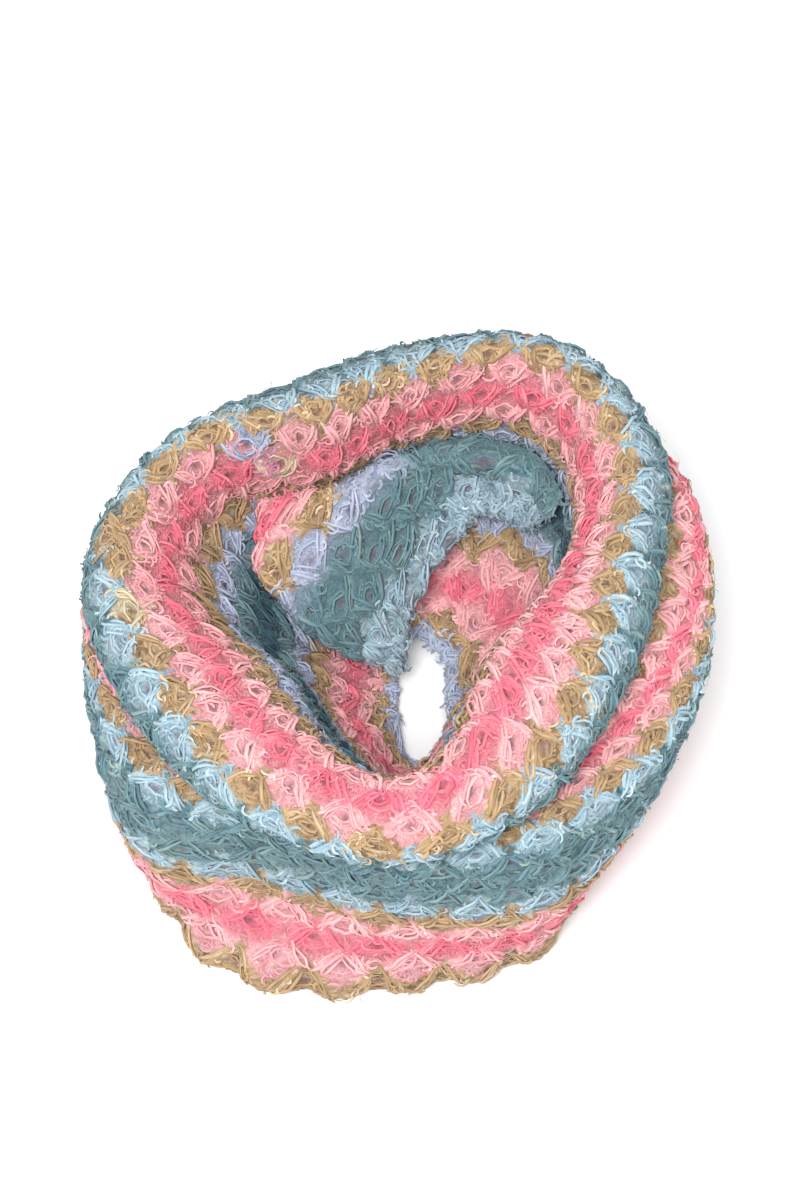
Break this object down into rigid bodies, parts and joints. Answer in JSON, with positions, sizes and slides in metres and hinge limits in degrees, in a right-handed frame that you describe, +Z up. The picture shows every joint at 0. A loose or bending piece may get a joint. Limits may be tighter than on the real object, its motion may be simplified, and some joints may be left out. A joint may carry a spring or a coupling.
{
  "type": "crochet neck warmer",
  "caption": "Crochet neck warmer: a seamless shell-stitch tube slumped on its hem, its top rolled outwards into a thick collar, with a fold lapped inside",
  "frame": {"origin": "centre of the bounding box's base, on the table that the outer hem stands on", "axes": "+Z up; -Y is the front, from which the picture was taken; +X to the picture's right"},
  "size_m": [0.2446, 0.2432, 0.1235],
  "materials": {
    "outer_wall": "matt brushed yarn",
    "rolled_collar": "matt brushed yarn",
    "inner_funnel": "matt brushed yarn",
    "lapped_fold": "matt brushed yarn"
  },
  "bodies": {
    "root": {"outer_wall": "outer_wall", "rolled_collar": "rolled_collar", "inner_funnel": "inner_funnel", "lapped_fold": "lapped_fold"}
  },
  "joints": []
}
